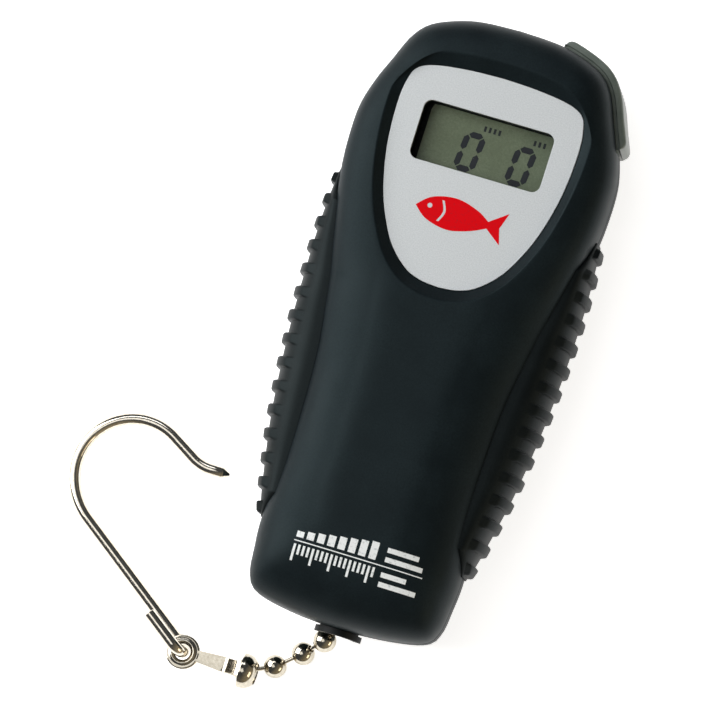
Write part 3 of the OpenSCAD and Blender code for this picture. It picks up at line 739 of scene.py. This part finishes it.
segments = []
for start in (-5.1, 5.6):
    left, right, low = segment / 2, digit_width - segment / 2, segment / 2
    middle, high, gap = digit_height / 2, digit_height - segment / 2, 0.16
    shapes = [
        bevelled_bar(left + gap, low, right - gap, low), bevelled_bar(left + gap, high, right - gap, high),
        bevelled_bar(left, low + gap, left, middle - gap), bevelled_bar(left, middle + gap, left, high - gap),
        bevelled_bar(right, low + gap, right, middle - gap),
        bevelled_bar(right, middle + gap, right, high - gap),
    ]
    for shape in shapes:
        segments.append([(start + x + y * lean_share, digit_foot + y) for x, y in shape])
# Three small annunciator bars over each digit stand for the unit marks
for start, count in ((-0.8, 4), (9.6, 3)):
    for k in range(count):
        segments.append(bar(start + k, 41.5, 0.5, 1.1))
digits = flat_piece("display_segments", segments, 19.8, 19.82)
# The cell's black border shows inside the window at its left and top, widened there as painted shade
border_and_shade = flat_piece("display_border_and_painted_shade", [rounded_box(29.4, 14.6, 0.5, window_at)[::4],
                                       rounded_box(26.6, 13, 0.8, (0.9, window_at[1] - 0.45))[::4]],
                    19.84, 19.87)
fit(border_and_shade, print_ink("black_border_and_painted_shade_ink", "#0b0d0e", "#15181a"), "housing", "black_plastic")
# Switched liquid crystal: blue-black with a soft edge and a thin blur of its own
crystal, tree, shader, place = finish_of("switched_liquid_crystal", {"Roughness": 0.35, "IOR": 1.5})
cloud = add(tree, "ShaderNodeTexNoise", {"Vector": place, "Scale": 1 / (0.9 * MM), "Detail": 3.0})
tone = ramp(tree, cloud.outputs["Fac"], (0, "#0c1017"), (1, "#191f27"))
tree.links.new(tone, shader.inputs["Base Color"])
fit(digits, crystal, "housing", "lcd_segments", "lcd_digits")
# Matt black plastic, hardly seen round the cell
dress(moulded("black_abs_frame", "#0e1113", "#16191b", 0.5, 0.4, 0.01), "lcd_frame")

# Layered conductive rubber: pink silicone with black carbon stripes, 0.1 mm drawn at 0.5 mm
zebra, tree, shader, place = finish_of("zebra_silicone", {"Roughness": 0.6, "IOR": 1.43})
stripe = add(tree, "ShaderNodeTexWave", {"Vector": place, "Scale": 1 / (0.5 * MM) / 6.28, "Distortion": 0.2},
             bands_direction="X")
tone = ramp(tree, stripe.outputs["Fac"], (0, "#1d1a1a"), (1, "#c9a4a0"))
tree.links.new(tone, shader.inputs["Base Color"])
dress(zebra, "zebra_strips")


# ---- Circuit board and switch ----
# Glass-epoxy board under green solder mask with its chip, small parts, side switch and two
# screws. It hangs from posts of the front shell.
mask, tree, shader, place = finish_of("green_solder_mask", {"Roughness": 0.35, "IOR": 1.5})
tracks = add(tree, "ShaderNodeTexVoronoi", {"Vector": place, "Scale": 1 / (2.4 * MM)},
             feature="DISTANCE_TO_EDGE", distance="CHEBYCHEV")
tone = ramp(tree, tracks.outputs["Distance"], (0.06, "#2f8a5a"), (0.12, "#1a5c3b"))
bump = add(tree, "ShaderNodeBump", {
    "Height": tracks.outputs["Distance"], "Distance": 0.02 * MM, "Strength": 0.4,
})
tree.links.new(tone, shader.inputs["Base Color"])
tree.links.new(bump.outputs[0], shader.inputs["Normal"])
dress(mask, "main_board")
# Black epoxy, tan ceramic and dark nylon: small dull blocks on the green
dress(moulded("epoxy_chip_body", "#121416", "#1e2022", 0.5, 0.5, 0.02), "board_chip")
dress(moulded("ceramic_chip_parts", "#8a7048", "#c2a67a", 0.45, 0.5, 0.02, 1.4), "board_parts")
dress(moulded("switch_nylon", "#22262a", "#33383c", 0.45, 0.5, 0.01, 3), "tact_switch")


def metal(name, dark, light, rough, scratch_mm, stretch):
    """Bare or plated metal with hairlines of a real spacing, drawn out along one direction."""
    material, tree, shader, place = finish_of(name, {"Metallic": 1.0})
    drawn = add(tree, "ShaderNodeMapping", {"Vector": place, "Scale": stretch})
    lines = add(tree, "ShaderNodeTexNoise", {
        "Vector": drawn.outputs[0], "Scale": 1 / (scratch_mm * MM), "Detail": 3.0,
    })
    tone = ramp(tree, lines.outputs["Fac"], (0.3, dark), (0.7, light))
    gloss = add(tree, "ShaderNodeMapRange", {
        "Value": lines.outputs["Fac"], "From Min": 0.3, "From Max": 0.7,
        "To Min": rough * 0.75, "To Max": rough * 1.3,
    })
    bump = add(tree, "ShaderNodeBump", {
        "Height": lines.outputs["Fac"], "Distance": 0.004 * MM, "Strength": 0.4,
    })
    tree.links.new(tone, shader.inputs["Base Color"])
    tree.links.new(gloss.outputs[0], shader.inputs["Roughness"])
    tree.links.new(bump.outputs[0], shader.inputs["Normal"])
    return material


# Zinc-plated steel: bluish, half dull, with fine turning marks 0.2 mm apart drawn at 0.5 mm
zinc = metal("zinc_plated_steel", "#9fa4a8", "#cdd0d1", 0.3, 0.5, (1, 1, 1))
dress(zinc, "board_screws", "case_screws", "beam_screws")


# ---- Batteries and their contacts ----
# Two small dry cells in a printed shrink sleeve, copper at one end, between nickel-plated spring
# steel contacts.
def sleeve(name, copper_from, way):
    """Shrink sleeve: black over most of the can, copper beyond one line across it."""
    material, tree, shader, place = finish_of(name, {"Metallic": 0.4, "Roughness": 0.3})
    along = add(tree, "ShaderNodeSeparateXYZ", {"Vector": place})
    past = add(tree, "ShaderNodeMath", {0: along.outputs["Y"], 1: copper_from * MM},
               operation="GREATER_THAN" if way > 0 else "LESS_THAN")
    scuff = add(tree, "ShaderNodeTexNoise", {"Vector": place, "Scale": 1 / (1.2 * MM), "Detail": 4.0})
    black = ramp(tree, scuff.outputs["Fac"], (0, "#17181a"), (1, "#2c2d30"))
    copper = ramp(tree, scuff.outputs["Fac"], (0, "#9a6a32"), (1, "#c08c4e"))
    both = add(tree, "ShaderNodeMix", {0: past.outputs[0], 6: black, 7: copper},
               data_type="RGBA")
    tree.links.new(both.outputs[2], shader.inputs["Base Color"])
    return material


dress(sleeve("cell_sleeve_a", 14, -1), "battery_a")
dress(sleeve("cell_sleeve_b", 38, 1), "battery_b")
# Nickel-plated spring steel: warm grey and fairly bright
contact = metal("nickel_spring_steel", "#a8a69e", "#d2cfc6", 0.22, 0.6, (1, 1, 1))
dress(contact, "battery_springs", "battery_tabs")
# Soft vinyl sheaths: waxy red and grey
dress(moulded("red_pvc_sheath", "#8a1f1b", "#b03028", 0.4, 0.6, 0.02, 4), "battery_leads")
dress(moulded("grey_pvc_sheath", "#a9a9a4", "#cfcfca", 0.4, 0.6, 0.02, 4), "cell_lead")


# ---- Load cell ----
# A milled aluminium beam screwed to the back with foil gauges glued over its thin webs, and a
# bent steel link that carries the chain's anchor.

# Milled aluminium: pale with cutter lines along the beam, 0.2 mm apart drawn at 0.5 mm
milled = metal("milled_aluminium", "#a3a8ac", "#c9cdd0", 0.35, 0.5, (1, 0.1, 1))
dress(milled, "load_beam")
# Polyimide film with copper loops: amber stripes, 0.1 mm apart drawn at 0.6 mm
gauge, tree, shader, place = finish_of("polyimide_gauge_foil", {"Roughness": 0.3, "IOR": 1.5})
grid = add(tree, "ShaderNodeTexWave", {"Vector": place, "Scale": 1 / (0.6 * MM) / 6.28}, bands_direction="X")
tone = ramp(tree, grid.outputs["Fac"], (0, "#8c4f1e"), (1, "#d18a48"))
tree.links.new(tone, shader.inputs["Base Color"])
dress(gauge, "strain_gauges")
dress(zinc, "load_link", "anchor_rivet")
# Black nylon: near black and dull
dress(moulded("black_nylon_gland", "#090c0d", "#0f1314", 0.5, 0.35, 0.01, shine=0.2), "chain_gland")


# ---- Ball chain ----
# Hollow beads rolled from nickel-plated brass strip, each with a seam and a hole at both ends,
# on dumb-bell pins that turn freely in the holes.
ball_radius = 2.38
ball_sheet = 0.3
ball_pitch = 6.2
ball_hole = 0.75
anchor = np.array([0, -60.4, 9.2])
link_turn = [240, 222.4, 221.6, 206.8]
link_rise = [-33.9, -32.2, 0, 11.6]
link_ways = []
for turn, rise in zip(np.radians(link_turn), np.radians(link_rise)):
    level_part = math.cos(rise)
    link_ways.append(np.array([level_part * math.cos(turn), level_part * math.sin(turn), math.sin(rise)]))
ball_middles = [anchor]
for way in link_ways:
    ball_middles.append(ball_middles[-1] + ball_pitch * way)


def bead(name, middle, way_in, way_out):
    """Bead with a hole towards each of its pins; its skin turns smoothly from one to the other."""
    start = math.asin(ball_hole / ball_radius)
    turns = np.linspace(start + 0.05, math.pi - start - 0.05, 27)
    inner = ball_radius - ball_sheet
    profile = [(inner * math.sin(start + 0.1), inner * math.cos(start + 0.1))]
    profile += [(ball_hole, inner * math.cos(start + 0.05)), (ball_hole, ball_radius * math.cos(start) - 0.06)]
    profile += [(ball_radius * math.sin(t), ball_radius * math.cos(t)) for t in turns]
    profile += [(r, -z) for r, z in profile[2::-1]]
    turns = np.linspace(math.pi - start - 0.15, start + 0.15, 9)
    profile += [(inner * math.sin(t), inner * math.cos(t)) for t in turns]
    up = Vector((0, 0, 1))
    first, last = up.rotation_difference(Vector(-way_in)), up.rotation_difference(Vector(way_out))
    rings = []
    for r, z in profile:
        share = min(max((z / ball_radius + 1) / 2, 0), 1)
        spin = first.slerp(last, share * share * (3 - 2 * share))
        ring = []
        for k in range(64):
            # The rolled strip's two edges meet in a shallow seam
            dip = 0.975 if k == 0 and r > ball_radius * 0.5 else 1
            a = math.radians(k * 360 / 64 + 200)
            ring.append(spin @ Vector((r * dip * math.cos(a), r * dip * math.sin(a), z)) + Vector(middle))
        rings.append(ring)
    return loft(name, rings, looped=True)


# Bright nickel: warm mirror with faint tumbling scratches, 0.1 mm apart drawn at 0.6 mm
bright_nickel = metal("bright_nickel_plate", "#b8b0a0", "#cec7b7", 0.1, 0.6, (1, 1, 1))
ball_nodes = ["anchor_ball", "chain_ball_1", "chain_ball_2", "chain_ball_3", "end_ball"]
ball_bodies = ["housing", "ball_1", "ball_2", "ball_3", "ball_end"]
for i, (node, body) in enumerate(zip(ball_nodes, ball_bodies)):
    way_in = -link_ways[i - 1] if i else np.array([0, 1.0, 0])
    way_out = link_ways[i] if i < 4 else np.array([-1.0, 0, 0])
    fit(bead(node + "_bead", ball_middles[i], way_in, way_out), bright_nickel, body, "nickel_steel",
        node, crease=40)
dress(bright_nickel, "link_pin_1", "link_pin_2", "link_pin_3", "link_pin_4")


# ---- Bell and strap ----
# Pressed steel coupling, nickel plated: a bell spun over the end bead and a folded strap whose
# two arms end in stacked, rolled eyes for the hook.
end_middle = ball_middles[4]
bell_radius = 3.6
bell_sheet = 0.35
bell_squash = 0.82


def turned(name, profile, middle, axis, count=72):
    """Closed turned shape from (radius, place along the axis) pairs."""
    spin = Vector((0, 0, 1)).rotation_difference(Vector(axis)).to_matrix()
    rings = []
    for r, z in profile:
        turn = np.radians(np.arange(count) * 360 / count)
        ring = np.column_stack([r * np.cos(turn), r * np.sin(turn), np.full(count, z)])
        rings.append(ring @ np.array(spin).T + middle)
    return loft(name, rings, looped=True)


bell_profile = []
for t in np.radians(np.linspace(37, 90, 14)):
    bell_profile.append((bell_radius * math.sin(t), bell_squash * bell_radius * math.cos(t)))
bell_profile += [(bell_radius, -0.3), (bell_radius + 0.04, -0.55), (bell_radius - 0.02, -0.7),
                 (bell_radius - bell_sheet, -0.68), (bell_radius - bell_sheet, -0.2)]
inner = bell_radius - bell_sheet
for t in np.radians(np.linspace(90, 41, 10)):
    bell_profile.append((inner * math.sin(t), bell_squash * inner * math.cos(t)))
bell = turned("coupling_bell", bell_profile, end_middle, (1, 0, 0))
fit(bell, bright_nickel, "coupling", "nickel_steel", "bell_cup", crease=45)

eye = np.array([-29.7, end_middle[1], end_middle[2]])
reach = end_middle[0] - eye[0]
strap_sheet = 0.38
strap_start = -reach + 2.9


def strap_arm(name, hand):
    """One arm of the strap, above or below, from over the end bead to its eye."""
    centre = evenly(np.array([(strap_start, 0.1), (-3.95, 0.1), (-1.1, 2.41), (0, 2.5)]), 70)
    for _ in range(14):
        centre[1:-1] = centre[1:-1] * 0.5 + (centre[2:] + centre[:-2]) * 0.25
    rings = []
    ahead = np.gradient(centre, axis=0)
    ahead /= np.linalg.norm(ahead, axis=1)[:, None]
    for (x, z), (dx, dz) in zip(centre, ahead):
        half = np.interp(x, [strap_start, -5, 0], [1.15, 1.55, 1.45])
        ring = []
        for s, t in ((-1, 0.08), (-0.95, 0), (0.95, 0), (1, 0.08), (1, 0.3), (0.95, strap_sheet),
                     (0.5, 0.34), (0, 0.32), (-0.5, 0.34), (-0.95, strap_sheet), (-1, 0.3)):
            ring.append(end_middle + [x - dz * t, half * s, hand * (z + dx * t)])
        rings.append(ring)
    return loft(name, rings)


# A flat lip round the hole, a rolled ring over it and a flange outside
eye_profile = [
    (1.62, 0.12), (1.62, 0.3), (1.78, 0.34), (1.9, 0.4), (2.0, 0.52), (2.08, 0.62), (2.25, 0.68),
    (2.45, 0.64), (2.6, 0.52), (2.75, 0.46), (3.05, 0.44), (3.35, 0.44),
    (3.47, 0.36), (3.5, 0.26), (3.46, 0.14), (3.38, 0.1), (1.7, 0.1),
]
strap = strap_arm("coupling_strap", 1)
weld_in(strap, strap_arm("lower_arm", -1),
        turned("upper_eye", eye_profile, eye, (0, 0, 1)), turned("lower_eye", eye_profile, eye, (0, 0, -1)))
fit(strap, bright_nickel, "coupling", "nickel_steel", "eye_strap", crease=45)


# ---- Hook ----
# Hard-drawn steel wire, nickel plated: bent back through the eye and cut square, then a long
# shank, a bow of two arcs, a reverse bend and a short ground point.
wire_radius = 1.22
hook_z = wire_radius + 0.05
shank_dir = math.radians(144.4)
turn_radius = 2.48
return_length = 7.6
shank_length = 31.4
low_bow_radius = 14
bow_radius = 11.7
bow_meets = 192
slope_down = 30.5
slope_length = 5.9
bend_radius = 8
tip_length = 2.5
lift = 2 * (eye[2] - hook_z)
tilt = math.acos(lift / (2 * turn_radius))
away = np.array([math.cos(shank_dir), math.sin(shank_dir), 0])
inward = np.array([math.sin(shank_dir), -math.cos(shank_dir), 0])
turn_at = eye + turn_radius * away
across = turn_radius * math.sin(tilt) * inward - np.array([0, 0, lift / 2])
shank_end = turn_at + across + shank_length * away
low_bow_at = shank_end + low_bow_radius * inward


def arc(middle, radius, start, end, count):
    """Level arc between two directions in degrees."""
    turn = np.radians(np.linspace(start, end, count))
    return middle + radius * np.column_stack([np.cos(turn), np.sin(turn), np.zeros(count)])


slope = math.radians(slope_down)
meets = math.radians(bow_meets)
bow_at = low_bow_at + (low_bow_radius - bow_radius) * np.array([math.cos(meets), math.sin(meets), 0])
slope_out = np.array([math.sin(slope), math.cos(slope), 0])
slope_way = np.array([math.cos(slope), -math.sin(slope), 0])
bend_end = bow_at + bow_radius * slope_out + slope_length * slope_way
back_bend_at = bend_end + bend_radius * slope_out
tip = back_bend_at + np.array([tip_length, -bend_radius, 0])
leg_end = turn_at - across + return_length * away
hook_line = np.vstack([
    leg_end, leg_end - 0.12 * away, leg_end - 4 * away,
    [turn_at - across * math.cos(a) - turn_radius * math.sin(a) * away for a in np.linspace(0, math.pi, 25)],
    [turn_at + across + s * away for s in (5, 10, 15, 20, 25)],
    arc(low_bow_at, low_bow_radius, 234.4, bow_meets, 16), arc(bow_at, bow_radius, bow_meets - 3, 59.5, 44),
    arc(back_bend_at, bend_radius, 270 - slope_down, 270, 12),
    tip, tip + [0.5, 0, 0], tip + [1, 0, 0], tip + [1.5, 0, 0],
])
hook_radii = np.full(len(hook_line), wire_radius)
hook_radii[0] = wire_radius - 0.12
hook_radii[-3:] = [0.95, 0.64, 0.3]


def tube(name, line, radii, count=32):
    """Round bar along a line, with a radius at each of its points."""
    ahead = np.gradient(line, axis=0)
    ahead /= np.linalg.norm(ahead, axis=1)[:, None]
    beside = np.array([0.1, 0.2, 1])
    turn = np.radians(np.arange(count) * 360 / count)[:, None]
    rings = []
    for point, way, radius in zip(line, ahead, radii):
        beside = beside - beside.dot(way) * way
        beside /= np.linalg.norm(beside)
        rings.append(point + radius * (np.cos(turn) * beside + np.sin(turn) * np.cross(way, beside)))
    return loft(name, rings)


# Plated wire: the same nickel with draw lines along it, a little warmer and softer than the beads
wire_nickel = metal("nickel_plated_wire", "#d0c8b8", "#e8e1d3", 0.12, 0.6, (1, 1, 1))
fit(tube("wire_hook", hook_line, hook_radii), wire_nickel, "hook", "nickel_steel", "hook", crease=40)
